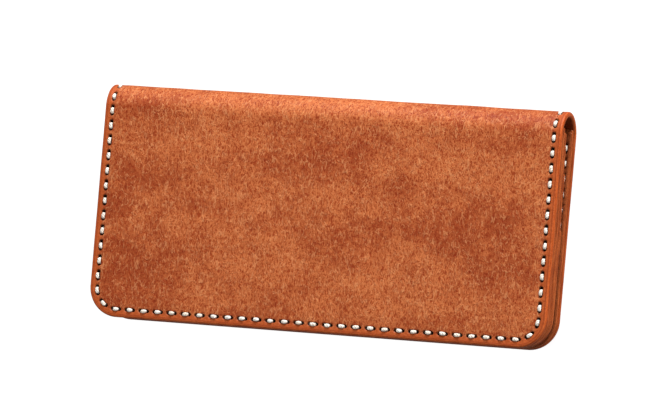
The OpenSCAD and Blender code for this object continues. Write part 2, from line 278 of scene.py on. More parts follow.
class Sheet:
    """A flat sheet of leather with domed edges, before it is shaped and put in place.

    Its points are x, v, n, with n = 0 on the face that is drawn finely, and inset is each
    point's distance from the outline. A window is a slot with round ends.
    """

    def __init__(self, width, height, r_low, r_high, t, dome, coarse=1.2, stops=(), window=None):
        self.w, self.h, self.r0, self.r1, self.t, self.dome = width, height, r_low, r_high, t, dome
        self.deep = math.ceil(max(r_low, r_high))
        a, deep = width / 2, self.deep
        self.fx = self._fractions([-(a - deep), a - deep], coarse)
        self.fv = self._fractions([deep, *stops, height - deep], coarse)
        self.fc = self._fractions([0, math.pi / 2 * max(r_low, 1)], coarse)
        self.points, self.inset, self.faces = [], [], []
        fine = coarse / FINE_PER_COARSE
        band = np.arange(2 * coarse + 3.0, dome, -fine)
        out = [(d, 0.0, 1) for d in np.linspace(deep, 2.4 * coarse + 3.0, 4)]
        out += [(d, 0.0, FINE_PER_COARSE) for d in band]
        out += [(*self._domed(b), FINE_PER_COARSE) for b in np.linspace(0, math.pi, 9)]
        out += [(d, t, 1) for d in np.linspace(dome + 1.5 * fine + 0.4, deep, 6)]
        before = None
        for d, n, k in out:
            ring = self._add(*self._loop(d, k), n, d)
            if before is not None:
                self._strip(before, ring)
            before = ring
        xs = -(a - deep) + 2 * (a - deep) * self.fx
        vs = deep + (height - 2 * deep) * self.fv
        if window:
            self._windowed(xs, vs, window)
        else:
            for n in (0.0, t):
                self._interior(xs, vs, n)
        self._merge()

    def _domed(self, b):
        """Inset and depth on the rounded edge, b going from 0 at the fine face to pi."""
        return self.dome * (1 - math.sin(b) ** 0.85), self.t / 2 * (1 - math.cos(b))

    @staticmethod
    def _fractions(stops, spacing):
        """Even steps between stops, which are kept, as fractions of the whole length."""
        at = []
        for p, q in zip(stops, stops[1:]):
            at += list(np.linspace(p, q, max(1, round((q - p) / spacing)) + 1)[:-1])
        at = np.array(at + [stops[-1]])
        return (at - at[0]) / (at[-1] - at[0])

    def _add(self, x, v, n, d):
        x, v = np.broadcast_arrays(np.asarray(x, float), np.asarray(v, float))
        start = len(self.points)
        n, d = np.broadcast_to(n, x.shape), np.broadcast_to(d, x.shape)
        self.points += np.stack([x.ravel(), v.ravel(), n.ravel()], -1).tolist()
        self.inset += d.ravel().tolist()
        return np.arange(start, start + x.size).reshape(x.shape)

    def _loop(self, d, k):
        """The outline at a distance d inside itself, counter-clockwise."""
        a, h = self.w / 2, self.h
        m0, m1 = max(self.r0, d), max(self.r1, d)
        c0, c1 = max(self.r0 - d, 0), max(self.r1 - d, 0)

        def spread(f):
            return np.interp(np.arange(0, (len(f) - 1) * k + 1) / k, np.arange(len(f)), f)

        fx, fv, fc = spread(self.fx), spread(self.fv), spread(self.fc)[:-1] * math.pi / 2
        xs, vs = [], []

        def run(x, v):
            x, v = np.broadcast_arrays(x, v)
            xs.append(x)
            vs.append(v)

        def corner(cx, cv, r, start):
            run(cx + r * np.cos(start + fc), cv + r * np.sin(start + fc))

        run((m0 - a) + 2 * (a - m0) * fx[:-1], d)
        corner(a - m0, m0, c0, -math.pi / 2)
        run(a - d, (m0 + (h - m1 - m0) * fv)[:-1])
        corner(a - m1, h - m1, c1, 0)
        run(((m1 - a) + 2 * (a - m1) * fx)[:0:-1], h - d)
        corner(m1 - a, h - m1, c1, math.pi / 2)
        run(d - a, (m0 + (h - m1 - m0) * fv)[:0:-1])
        corner(m0 - a, m0, c0, math.pi)
        return np.concatenate(xs), np.concatenate(vs)

    def _strip(self, a, b):
        """Faces between two rings, one of which may have more points than the other."""
        ka, kb = len(a) // min(len(a), len(b)), len(b) // min(len(a), len(b))
        a, b = np.append(a, a[0]), np.append(b, b[0])
        for i in range((len(a) - 1) // ka):
            first = a[i * ka : (i + 1) * ka + 1].tolist()
            second = b[i * kb : (i + 1) * kb + 1].tolist()
            self.faces.append(first[:1] + second + first[:0:-1])

    def _interior(self, xs, vs, n):
        x, v = np.meshgrid(xs, vs)
        a, h = self.w / 2, self.h
        d = np.minimum.reduce([a - np.abs(x), v, h - v])
        faces = quads(self._add(x, v, n, d))
        self.faces += faces if n == 0 else [f[::-1] for f in faces]

    def _windowed(self, xs, vs, window):
        """The interior with a slot in its upper part, whose edge is domed like the outline."""
        middle, length, width, low = window
        row = int(np.argmin(np.abs(vs - low)))
        for n in (0.0, self.t):
            self._interior(xs, vs[: row + 1], n)
        side = vs[row:]
        x0, x1, v0, v1 = xs[0], xs[-1], side[0], side[-1]
        rows, columns = len(side) - 1, len(xs) - 1
        outer_x = np.concatenate([xs[:-1], np.full(rows, x1), xs[:0:-1], np.full(rows, x0)])
        outer_v = np.concatenate([np.full(columns, v0), side[:-1], np.full(columns, v1), side[:0:-1]])
        # Each of the four sides takes its share of the slot's outline, corner to corner.
        r, flat = width / 2, length - width
        eighth = math.pi / 4 * r
        at, s = [], -flat / 2 - eighth
        for count, span in zip([columns, rows] * 2, [flat + 2 * eighth, 2 * eighth] * 2):
            at.append(s + span * np.arange(count) / count)
            s += span
        s = (np.concatenate(at) + flat / 2) % (2 * flat + 8 * eighth)
        bend = flat + 4 * eighth
        turn = np.clip((s - flat) / r, 0, math.pi) + np.clip((s - flat - bend) / r, 0, math.pi)
        ox, ov = np.sin(turn), -np.cos(turn)
        sx = np.clip(s, 0, flat) - np.clip(s - bend, 0, flat) - flat / 2 + r * ox
        sv = middle + r * ov
        dome, t = self.dome, self.t
        rings = [(f, dome, 0.0) for f in (0.0, 0.35, 0.65)]
        rings += [(1.0, *self._domed(b)) for b in np.linspace(0, math.pi, 9)]
        rings += [(f, dome, t) for f in (0.65, 0.35, 0.0)]
        before = None
        for f, out, n in rings:
            x = outer_x + (sx + ox * out - outer_x) * f
            v = outer_v + (sv + ov * out - outer_v) * f
            d = np.hypot(x - sx, v - sv) if f < 1 else np.full(len(x), out)
            ring = self._add(x, v, n, d)
            if before is not None:
                # This loop's inside is the slot, so its strips turn the other way.
                a, b = np.append(before, before[0]), np.append(ring, ring[0])
                self.faces += np.stack([a[:-1], a[1:], b[1:], b[:-1]], -1).tolist()
            before = ring

    def _merge(self):
        points = np.array(self.points)
        key = np.round(points * 2000).astype(np.int64)
        _, first, inverse = np.unique(key, axis=0, return_index=True, return_inverse=True)
        inverse = inverse.reshape(-1)
        self.points = points[first]
        self.inset = np.array(self.inset)[first]
        faces = []
        for f in self.faces:
            g = []
            for i in f:
                j = int(inverse[i])
                if not g or g[-1] != j:
                    g.append(j)
            if g[0] == g[-1]:
                g.pop()
            if len(g) > 2:
                faces.append(g)
        self.faces = faces
        self.x, self.v, self.n = self.points.T

    def painted_gap_shade(self, low, high):
        """Painted shade along the lines where a sheet's rounded edge meets its neighbours: 0 to 1.

        low and high say how much of them there is beside the fine face and the other one.
        """
        near = smooth(1 - self.inset / self.dome)
        across = self.n / self.t
        return near * (low * smooth((0.26 - across) / 0.2) + high * smooth((across - 0.74) / 0.2))

    def edge(self):
        """How much of the burnished edge a point shows, from 0 on the faces to 1."""
        return smooth(1 - (self.inset - 0.05) / (0.9 * self.dome))


# --- Materials ---


def linear(r, g, b):
    """A colour given as the eight-bit values seen on a screen, for a shader."""
    channels = [c / 255 for c in (r, g, b)]
    return tuple(c / 12.92 if c <= 0.04045 else ((c + 0.055) / 1.055) ** 2.4 for c in channels) + (1.0,)


class Material:
    """A material and short ways to add its nodes."""

    def __init__(self, name, roughness=0.5, **sockets):
        self.material = bpy.data.materials.new(name)
        self.material.use_nodes = True
        self.tree = self.material.node_tree
        self.shader = self.tree.nodes["Principled BSDF"]
        self.shader.inputs["Roughness"].default_value = roughness
        for key, value in sockets.items():
            self.shader.inputs[key.replace("_", " ")].default_value = value

    def node(self, kind, values=None, **settings):
        made = self.tree.nodes.new(kind)
        for key, value in settings.items():
            setattr(made, key, value)
        for key, value in (values or {}).items():
            if isinstance(value, bpy.types.NodeSocket):
                self.tree.links.new(value, made.inputs[key])
            else:
                made.inputs[key].default_value = value
        return made

    def attribute(self, name):
        return self.node("ShaderNodeAttribute", attribute_name=name)

    def pattern(self):
        return self.attribute("pattern").outputs["Vector"]

    def value(self, name):
        return self.attribute(name).outputs["Fac"]

    def math(self, operation, a, b=0.0, clamp=False):
        made = self.node("ShaderNodeMath", {0: a, 1: b}, operation=operation)
        made.use_clamp = clamp
        return made.outputs[0]

    def scaled(self, vector, scale, move=(0, 0, 0)):
        values = {"Vector": vector, "Scale": scale, "Location": move}
        return self.node("ShaderNodeMapping", values).outputs[0]

    def noise(self, vector, scale, detail=2.0, roughness=0.5, output="Fac"):
        values = {"Vector": vector, "Scale": scale, "Detail": detail, "Roughness": roughness}
        return self.node("ShaderNodeTexNoise", values).outputs[output]

    def bands(self, values, direction):
        settings = {"wave_type": "BANDS", "bands_direction": direction}
        return self.node("ShaderNodeTexWave", values, **settings).outputs["Fac"]

    def step(self, value, low, high, to_low=0.0, to_high=1.0):
        names = "Value", "From Min", "From Max", "To Min", "To Max"
        values = dict(zip(names, (value, low, high, to_low, to_high)))
        made = self.node("ShaderNodeMapRange", values, interpolation_type="SMOOTHSTEP")
        return made.outputs["Result"]

    def mix(self, share, a, b, blend="MIX"):
        values = {0: share, 6: a, 7: b}
        return self.node("ShaderNodeMix", values, data_type="RGBA", blend_type=blend).outputs[2]

    def ramp(self, value, *stops):
        made = self.node("ShaderNodeValToRGB", {"Fac": value})
        while len(made.color_ramp.elements) < len(stops):
            made.color_ramp.elements.new(0.5)
        for element, (at, colour) in zip(made.color_ramp.elements, stops):
            element.position, element.color = at, colour
        return made.outputs["Color"]

    def warped(self, vector, scale, amount):
        """The vector, moved about by a noise, so that what is drawn with it curls."""
        wobble = self.noise(vector, scale, 2.0, output="Color")
        for operation, values in (
            ("SUBTRACT", {1: (0.5, 0.5, 0.5)}),
            ("SCALE", {"Scale": amount}),
            ("ADD", {1: vector}),
        ):
            values[0] = wobble
            wobble = self.node("ShaderNodeVectorMath", values, operation=operation).outputs[0]
        return wobble

    def strands(self, vector, *layers):
        """Short curly lines, in layers: where a noise crosses its middle, cut up by another."""
        drawn = 0.0
        for scale, width, move, mask_scale, cover in layers:
            there = self.scaled(vector, scale, move)
            off = self.math("ABSOLUTE", self.math("SUBTRACT", self.noise(there, 1.0, 1.5), 0.5))
            line = self.step(off, 0.0, width, 1.0, 0.0)
            patch = self.noise(self.scaled(vector, (1, 1, 1), [m + 31 for m in move]), mask_scale, 1.0)
            line = self.math("MULTIPLY", line, self.step(patch, cover, cover + 0.07))
            drawn = self.math("MAXIMUM", drawn, line)
        return drawn

    def finish(self, colour=None, roughness=None, bumps=()):
        """Joins the shader: bumps are (height, depth in metres), the broadest first."""
        if colour is not None:
            self.tree.links.new(colour, self.shader.inputs["Base Color"])
        if roughness is not None:
            self.tree.links.new(roughness, self.shader.inputs["Roughness"])
        normal = None
        for height, depth in bumps:
            values = {"Height": height, "Distance": depth, "Strength": 1.0}
            if normal is not None:
                values["Normal"] = normal
            normal = self.node("ShaderNodeBump", values).outputs["Normal"]
        if normal is not None:
            self.tree.links.new(normal, self.shader.inputs["Normal"])
        return self.material


def leather(name, strands, *colours):
    """Oiled vegetable-tanned leather: a deep ground, clouded over with pale curly fibres."""
    deep, mid, light, pale, rim, burnished = (linear(*c) for c in colours)
    m = Material(name, 0.5, Specular_IOR_Level=0.28)
    place = m.pattern()
    curly = m.warped(place, 0.16, 2.4)
    kinked = m.warped(curly, 0.6, 0.7)
    cloud = m.noise(m.scaled(place, (0.019, 0.040, 0.03), (3.1, 0.4, 0)), 1.0, 2.0, 0.5)
    blotch = m.noise(m.warped(place, 0.10, 7.0), 0.11, 3.0, 0.6)
    mottle = m.noise(m.scaled(kinked, (1.0, 0.7, 1.0)), 0.8, 3.0, 0.6)
    grain = m.noise(place, 2.1, 2.0, 0.6)

    def add(total, part, share):
        values = {0: m.math("SUBTRACT", part, 0.5), 1: share, 2: total}
        return m.node("ShaderNodeMath", values, operation="MULTIPLY_ADD").outputs[0]

    cover = add(add(add(0.5, cloud, 1.5), blotch, 1.1), mottle, 0.8)
    haze = m.step(cover, 0.0, 0.95)
    # Each layer: lines per millimetre, their width, a shift, and the size and share of gaps.
    wisps = m.strands(
        kinked,
        ((1.05, 0.36, 0.9), 0.085, (5, 2, 8), 0.9, 0.34),
        ((1.45, 0.52, 0.9), 0.090, (15, 32, 3), 1.1, 0.38),
        ((0.80, 0.34, 0.6), 0.060, (61, 13, 24), 0.6, 0.42),
    )
    hairs = m.strands(
        curly,
        ((0.66, 0.18, 0.3), 0.036, (3, 7, 1), 0.42, 0.47),
        ((0.52, 0.22, 0.4), 0.030, (41, 23, 4), 0.36, 0.50),
    )

    tone = add(add(0.5, cover, 0.30), mottle, 0.5)
    tone = add(tone, grain, 0.55)
    colour = m.ramp(tone, (0.25, deep), (0.75, mid))
    inset = m.value("inset")
    margin = m.step(inset, INSET - 0.8, INSET + 0.4)
    spread = m.math("MULTIPLY", m.step(haze, 0.0, 1.0, 0.26, 0.92), m.step(margin, 0.0, 1.0, 0.35, 1.0))
    colour = m.mix(m.step(margin, 0.0, 1.0, 0.55, 0.0), colour, rim)
    colour = m.mix(m.math("MULTIPLY", wisps, spread), colour, light)
    colour = m.mix(m.math("MULTIPLY", m.math("MULTIPLY", haze, margin), 0.10), colour, light)
    shown = m.math("MULTIPLY", hairs, m.math("MULTIPLY", margin, strands))
    colour = m.mix(shown, colour, pale)

    edge, hole = m.value("edge"), m.value("hole")
    streaks = m.noise(m.scaled(m.warped(place, 0.2, 0.5), (0.3, 0.1, 2.2)), 1.0, 3.0, 0.6)
    waxed = m.mix(m.step(streaks, 0.36, 0.62), burnished, rim)
    colour = m.mix(edge, colour, waxed)
    crease = m.math("MULTIPLY", m.step(inset, 0.85, 1.05), m.step(inset, 1.15, 1.45, 1.0, 0.0))
    colour = m.mix(m.math("MULTIPLY", crease, 0.55), colour, deep)
    # Painted shade: near black in the stitch holes and along the gaps where the layers' edges meet.
    colour = m.mix(hole, colour, linear(9, 4, 3))

    rough = m.step(m.noise(curly, 0.9, 3.0), 0.3, 0.7, 0.60, 0.46)
    rough = m.math("MULTIPLY", rough, m.step(edge, 0.0, 1.0, 1.0, 0.62))
    pores = m.node("ShaderNodeTexVoronoi", {"Vector": place, "Scale": 1.9}, feature="F1")
    relief = m.math("ADD", m.math("MULTIPLY", wisps, 0.6), hairs)
    bumps = (
        (m.noise(curly, 0.55, 3.0, 0.55), 0.00022),
        (pores.outputs["Distance"], 0.00005),
        (m.math("ADD", grain, m.math("MULTIPLY", relief, 0.6)), 0.00005),
    )
    return m.finish(colour, rough, bumps)


# Both leathers' colours: the ground's two, the fine fibres', the long fibres', the margin's
# outside the seam, and the burnished edges' darker streaks.
COVER = leather(
    "cover_leather", 0.42,
    (132, 40, 10), (166, 66, 24), (212, 122, 70), (236, 162, 108), (200, 96, 42), (146, 54, 16),
)
INNER = leather(
    "inner_leather", 0.3,
    (122, 50, 22), (160, 78, 40), (196, 120, 76), (220, 156, 112), (196, 100, 48), (140, 56, 20),
)


def waxed_thread():
    """Thick waxed linen thread: cream, with its plies showing and a soft sheen."""
    m = Material("thread", 0.55, Specular_IOR_Level=0.4)
    place = m.pattern()
    values = {"Vector": place, "Scale": 0.55, "Distortion": 0.6, "Detail": 2.0}
    plies = m.bands(values, "DIAGONAL")
    fuzz = m.noise(place, 5.0, 3.0, 0.7)
    dirt = m.noise(place, 0.25, 2.0)
    colour = m.mix(m.step(dirt, 0.35, 0.75), linear(252, 247, 238), linear(240, 226, 208))
    colour = m.mix(m.math("MULTIPLY", m.step(plies, 0.35, 0.0), 0.35), colour, linear(196, 172, 142))
    # Painted shade: the thread darkens where it goes down into its holes.
    colour = m.mix(m.value("hole"), colour, linear(150, 108, 76))
    return m.finish(colour, None, ((plies, 0.00012), (fuzz, 0.00005)))


def zipper_cloth():
    """Woven cotton tape: a herringbone of fine threads."""
    m = Material("zipper_tape", 0.85, Specular_IOR_Level=0.2)
    place = m.pattern()
    parts = []
    for direction, move in (("DIAGONAL", (0, 0, 0)), ("X", (0.4, 0, 0))):
        there = m.scaled(place, (1, 1, 1), move)
        values = {"Vector": there, "Scale": 1.1, "Distortion": 0.4, "Detail": 1.0}
        parts.append(m.bands(values, direction))
    weave = m.math("MULTIPLY", parts[0], m.math("ADD", parts[1], 0.35))
    fuzz = m.noise(place, 4.0, 3.0, 0.7)
    colour = m.mix(weave, linear(44, 25, 16), linear(104, 66, 42))
    colour = m.mix(m.math("MULTIPLY", fuzz, 0.3), colour, linear(130, 92, 64))
    return m.finish(colour, None, ((weave, 0.00012), (fuzz, 0.00004)))


def worn_brass():
    """Cast brass, a little tarnished, with fine scratches."""
    m = Material("brass", 0.3, Metallic=1.0)
    place = m.pattern()
    tarnish = m.noise(place, 0.35, 4.0, 0.6)
    scratch = m.noise(m.scaled(place, (0.6, 9.0, 9.0)), 1.0, 3.0, 0.6)
    colour = m.mix(m.step(tarnish, 0.35, 0.7), linear(238, 208, 148), linear(206, 166, 104))
    rough = m.step(m.noise(place, 1.2, 3.0), 0.3, 0.7, 0.2, 0.38)
    return m.finish(colour, rough, ((scratch, 0.0000015), (tarnish, 0.000003)))


THREAD, TAPE, BRASS = waxed_thread(), zipper_cloth(), worn_brass()


# --- The cover ---

# The cover's outer face is a little uneven, in broad swells and small ripples.
swell = waves(3, 9, 60, 16)
ripple = waves(5, 14, 15, 6)
SWELL, RIPPLE = 0.10, 0.035


def cover_depth(x, v):
    """How far in the cover's outer face lies at a point, apart from its stitches."""
    return SWELL * swell(x, v) + RIPPLE * ripple(x, v)


def split_at(share):
    return FLAT + FOLD_R * SHARE * share


BLEND_REACH = math.radians(25)


def blend_over(piece, share, first, second):
    """Bakes a piece's place into its mesh, without bending it over the fold; first and second are not
    used.
    """
    for side in (-1, 1):
        turn = SHARE * (share + 0.5) + side * BLEND_REACH
        at = on_cover(0, FLAT + FOLD_R * turn, COVER_T / 2)
    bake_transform(piece)


def build_cover():
    stops = (FLAT, split_at(1), split_at(2), FLAT + ARC)
    sheet = Sheet(WIDTH, PATTERN, CORNER_R, CORNER_R, COVER_T, 0.85, stops=stops)
    x, v, n = sheet.x, sheet.v, sheet.n
    half_v = np.minimum(v, PATTERN - v)
    hole, groove, valley = seam_marks(x, half_v, OUTER_STITCHES)
    outer = 1 - smooth(n / COVER_T)
    depth = n + outer * (cover_depth(x, v) + 0.3 * hole + 0.9 * groove + 0.16 * valley)
    points = on_cover(x, v, depth)
    faces = turn_outwards(points, sheet.faces)
    whole = bpy.data.meshes.new("whole")
    whole.from_pydata(points.tolist(), [], faces)
    whole.update()
    normals = np.zeros(len(points) * 3, np.float32)
    whole.vertex_normals.foreach_get("vector", normals)
    normals = normals.reshape(-1, 3)
    bpy.data.meshes.remove(whole)
    middle = np.array([v[f].mean() for f in faces])
    made = []
    for name, low, high in (
        ("cover_leather_back", -1, split_at(1)),
        ("cover_leather_spine", split_at(1), split_at(2)),
        ("cover_leather_front", split_at(2), PATTERN + 1),
    ):
        kept = [faces[i] for i in np.nonzero((middle > low) & (middle < high))[0]]
        used = np.unique(np.concatenate([np.array(f) for f in kept]))
        number = np.full(len(points), -1)
        number[used] = np.arange(len(used))
        kept = [number[f].tolist() for f in kept]
        piece = add_mesh(
            name, points[used], kept, COVER, "cover_leather",
            pattern=np.stack([x, v, n], -1)[used],
            edge=sheet.edge()[used],
            # Painted shade, near black, in the stitch holes and along the gap behind the cover's inner
            # edge.
            hole=np.maximum(hole * outer, sheet.painted_gap_shade(0.0, 0.7))[used],
            inset=sheet.inset[used],
        )
        close_ends(piece)
        piece.data.normals_split_custom_set_from_vertices(normals[used].tolist())
        made.append(piece)
    return made


def close_ends(piece):
    """Fills the open ends of a piece of the cover, where the next piece goes on."""
    work = bmesh.new()
    work.from_mesh(piece.data)
    rim = [e for e in work.edges if e.is_boundary]
    bmesh.ops.holes_fill(work, edges=rim, sides=0)
    work.to_mesh(piece.data)
    work.free()


back_leather, spine_leather, front_leather = build_cover()
blend_over(back_leather, 0, "back_half", "spine_lower")
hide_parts("cover_back")
blend_over(spine_leather, 1, "spine_lower", "spine_upper")
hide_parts("cover_spine_lower", "cover_spine_upper")
blend_over(front_leather, 2, "spine_upper", "front_half")
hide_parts("cover_front")


# --- Thread ---

AROUND = 12
THREAD_W, THREAD_T = 1.42, 0.84
# Half a stitch's length between its bends, and how far its middle stands out.
STITCH_L, STITCH_RISE = 0.86, 0.42
# On the short sides the stitches have sagged a little in their holes, towards the open edge.
STITCH_SAG = 0.22


def stitch(centre, seed, sunk, deep):
    """One stitch's tube as s, q, n and its cap centres: s along the seam, q across it, n inwards."""
    r = np.random.default_rng(seed)
    length = STITCH_L + r.uniform(-0.08, 0.10)
    turn, drift, rise = r.normal(0, 0.06), r.normal(0, 0.07), r.uniform(-0.05, 0.05)
    u = np.linspace(-1, 1, 15)
    s = length * np.sign(u) * np.abs(np.sin(u * math.pi / 2)) ** 0.95
    n = sunk - (STITCH_RISE + rise) * np.abs(np.cos(u * math.pi / 2)) ** 0.55
    s = np.concatenate([[-length], s, [length]])
    n = np.concatenate([[deep], n, [deep]])
    ds, dn = np.gradient(s), np.gradient(n)
    size = np.hypot(ds, dn)
    ds, dn = ds / size, dn / size
    b = np.arange(AROUND) * 2 * math.pi / AROUND
    twist = 1 + 0.05 * np.cos(2 * (b[None, :] - s[:, None] * 2.6))
    plump = 1 - 0.16 * (np.abs(s) / length) ** 4
    across = THREAD_W / 2 * np.cos(b)[None, :] * twist * plump[:, None]
    up = THREAD_T / 2 * np.sin(b)[None, :] * twist * plump[:, None]
    ring_s = s[:, None] + up * dn[:, None]
    ring_n = n[:, None] - up * ds[:, None]
    ring_q = across + drift + turn * s[:, None]
    return centre + ring_s, ring_q, ring_n


def tube_faces(rows):
    index = np.arange(rows * AROUND).reshape(rows, AROUND)
    closed = np.concatenate([index, index[:, :1]], 1)
    return quads(closed) + [index[0].tolist(), index[-1][::-1].tolist()]


def thread_piece(name, body, stitches, node_names, blend=None):
    """A piece made of many stitches: each one's points, pattern, and how deep it is buried."""
    points, faces, pattern, hole = [], [], [], []
    for at, place, buried in stitches:
        tube, start = at.reshape(-1, 3), len(hole)
        faces += [[i + start for i in f] for f in turn_outwards(tube, tube_faces(len(at)))]
        points.extend(tube)
        pattern.extend(place.reshape(-1, 3))
        hole.extend(buried.ravel())
    # The hole value is how deeply each point is buried, and it paints the shade on the thread inside
    # its hole.
    piece = add_mesh(name, points, faces, THREAD, "thread", pattern=pattern, hole=hole)
    if blend is None:
        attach(piece, body)
    else:
        blend_over(piece, *blend)
    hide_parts(*node_names)
    return piece


def outer_stitch(half, side, centre):
    """A stitch on the cover's outer face. half is -1 at the back's end of the pattern."""
    seed = int(round(centre * 10)) * 4 + (half > 0) * 2 + (side > 0) + 11
    s, q, n = stitch(centre, seed, 0.24, 1.5)
    s = s - STITCH_SAG * (centre > STRAIGHT_RUN + CORNER_RUN)
    x, v = seam_point(s, q)
    v = v if half < 0 else PATTERN - v
    base = cover_depth(*(c.mean() for c in (x * side, v)))
    place = np.stack([s * 1.0, q, n], -1) + seed * 7.3
    return on_cover(x * side, v, n + base + 0.05), place, smooth((n - 0.25) / 0.6)


def inner_stitch(mapping, level, side, centre, seed):
    """A stitch on the innermost panel. level is the height of that panel's face over the stack."""
    s, q, n = stitch(centre, seed, 0.22, 0.6)
    x, y = seam_point(s, q - (BACK_SLANT if mapping is in_back else 0.0))
    place = np.stack([s, q, n], -1) + seed * 7.3
    return in_stack(mapping, x * side, y, level - n), place, smooth((n - 0.2) / 0.4)


CARD_Z = 3 * DIVIDER_T
POCKET_TOPS = [80.0 - 11.0 * k for k in range(4)]


def front_level(y):
    return CARD_Z + POCKET_T * sum(y < top for top in POCKET_TOPS)


def seam(half):
    """Both faces of one half's seam, with its lip of the fold."""
    made = []
    for centre in OUTER_STITCHES[:-1]:
        for side in (-1, 1) if centre else (1,):
            made.append(outer_stitch(half, side, centre))
    for i, centre in enumerate(INNER_STITCHES):
        level = 2 * COIN_T if half < 0 else front_level(float(seam_point(centre, 0)[1]))
        mapping = in_back if half < 0 else in_front
        for side in (-1, 1):
            seed = 900 + 4 * i + (half > 0) * 2 + (side > 0)
            made.append(inner_stitch(mapping, level, side, centre, seed))
    return made


thread_piece("seam_back", None, seam(-1), ["seam_thread_back"], (0, "back_half", "spine_lower"))
thread_piece("seam_front", None, seam(1), ["seam_thread_front"], (2, "spine_upper", "front_half"))
spine = [outer_stitch(half, side, OUTER_STITCHES[-1]) for half in (-1, 1) for side in (-1, 1)]
spine_nodes = ["seam_thread_spine_lower", "seam_thread_spine_upper"]
thread_piece("seam_spine", None, spine, spine_nodes, (1, "spine_lower", "spine_upper"))


# --- The inner panels ---

PANEL_H = FLAT + math.sqrt((FOLD_R - COVER_T) ** 2 - (FOLD_R - COVER_T - MOUTH_GAP + 0.3) ** 2)
NOTCH_W, NOTCH_D = 24.0, 2.2


def panel(name, half, height, z, t, node, seed, coarse=1.6, notches=False, shape=None, window=None):
    """A panel of a half's stack. Its fine face looks inwards, and z is its other face's height."""
    y0 = PANEL_INSET
    stops = (window[3],) if window else ()
    size = WIDTH - 2 * y0, height - y0, CORNER_R - y0, 1.0, t, 0.42 * t
    sheet = Sheet(*size, coarse=coarse, stops=stops, window=window)
    x, y, n = sheet.x, sheet.v + y0, sheet.n
    hole, groove, valley = seam_marks(x, y, INNER_STITCHES, BACK_SLANT if half is in_back else 0.0)
    facing = 1 - smooth(n / t)
    top = height - y
    crease = bell(top - 1.9, 0.28) * 0.16 * smooth((WIDTH / 2 - np.abs(x) - 2) / 3)
    wavy = waves(seed, 8, 70, 18)
    depth = n + facing * (0.2 * hole + min(0.5 * t, 0.5) * groove + 0.09 * valley + crease)
    if notches:
        r = (NOTCH_W**2 / 4 + NOTCH_D**2) / (2 * NOTCH_D)
        dx = np.minimum(np.abs(np.abs(x) - WIDTH / 4), NOTCH_W / 2)
        dip = np.sqrt(r * r - dx * dx) - (r - NOTCH_D)
        y = y - dip * smooth(1 - top / 14)
    level = z + t - depth
    if shape is not None:
        level = level + shape(x, y)
    # The panels' edges do not line up exactly, and the sheets are not quite flat.
    out = smooth(1 - sheet.inset / 3) * 0.22 * wavy(x * 0.7 + 40, y)
    points = in_stack(half, x + np.sign(x) * out, y, level)
    faces = turn_outwards(points, sheet.faces)
    piece = add_mesh(
        name, points, faces, INNER, "inner_leather",
        pattern=np.stack([x + 211 * seed, y + 97 * seed, n + 5 * seed], -1),
        edge=sheet.edge(),
        # Painted shade, near black, in the stitch holes and along the gaps beside both faces of the
        # panel's edge.
        hole=np.maximum(hole * facing, sheet.painted_gap_shade(0.6, 0.6)),
        inset=sheet.inset,
    )
    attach(piece, "back_half" if half is in_back else "front_half")
    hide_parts(node)
    return piece


panel("bill_divider_leather", in_front, PANEL_H, 0, DIVIDER_T, "bill_divider", 21, 2.0)
panel("note_divider_leather", in_front, PANEL_H - 1, DIVIDER_T, DIVIDER_T, "note_divider", 22, 2.0)
panel("card_base_leather", in_front, PANEL_H - 2, 2 * DIVIDER_T, DIVIDER_T, "card_base_panel", 23, 1.6)
for k, top in enumerate(POCKET_TOPS):
    name, z = f"card_pocket_leather_{k + 1}", CARD_Z + k * POCKET_T
    panel(name, in_front, top, z, POCKET_T, f"card_pocket_{k + 1}", 24 + k, notches=True)
panel("coin_pocket_rear_leather", in_back, PANEL_H, 0, COIN_T, "coin_pocket_rear_panel", 31, 2.0)

# The coin pocket's front panel stands up inside its stitched rim, and has the zipper's window.
COIN_DEPTH, ZIP_Y, WINDOW_L, WINDOW_W = 1.65, 67.0, 164.0, 9.0
COIN_H = PANEL_H - 1


def bulge(x, y):
    sides = smooth((WIDTH / 2 - PANEL_INSET - np.abs(x) - 4.6) / 4.5)
    low = smooth((y - PANEL_INSET - 4.6) / 4.5)
    high = smooth((COIN_H - y - 1.2) / 4.0)
    return COIN_DEPTH * sides * low * high


window = (ZIP_Y - PANEL_INSET, WINDOW_L, WINDOW_W, ZIP_Y - PANEL_INSET - 6.4)
panel(
    "coin_pocket_leather", in_back, COIN_H, COIN_T, COIN_T, "coin_pocket_panel", 32,
    shape=bulge, window=window,
)


# --- Straight rows of stitches: between the card slots and around the zipper ---


def straight_stitch(mapping, x, y, level, along_y, seed):
    s, q, n = stitch(0.0, seed, 0.1, 0.5)
    px, py = (x + q, y + s) if along_y else (x + s, y + q)
    place = np.stack([s, q, n], -1) + seed * 7.3
    return in_stack(mapping, px, py, level - n * 0.8), place, smooth((n - 0.1) / 0.4)


rows = []
for i in range(int(POCKET_TOPS[0] // PITCH) - 2):
    y = POCKET_TOPS[0] - (i + 0.5) * PITCH
    rows.append(straight_stitch(in_front, 0.0, y, front_level(y), True, 1500 + i))
thread_piece("card_pocket_seam", "front_half", rows, ["card_pocket_thread"])

COIN_TOP = 2 * COIN_T + COIN_DEPTH
rows = []
count = int(WINDOW_L // PITCH)
for i in range(count):
    for side in (-1, 1):
        x = (i + 0.5 - count / 2) * PITCH
        y = ZIP_Y + side * (WINDOW_W / 2 + 2.5)
        rows.append(straight_stitch(in_back, x, y, COIN_TOP, False, 1600 + 2 * i + (side > 0)))
thread_piece("zipper_seam", "back_half", rows, ["zipper_thread"])


# --- The zipper ---

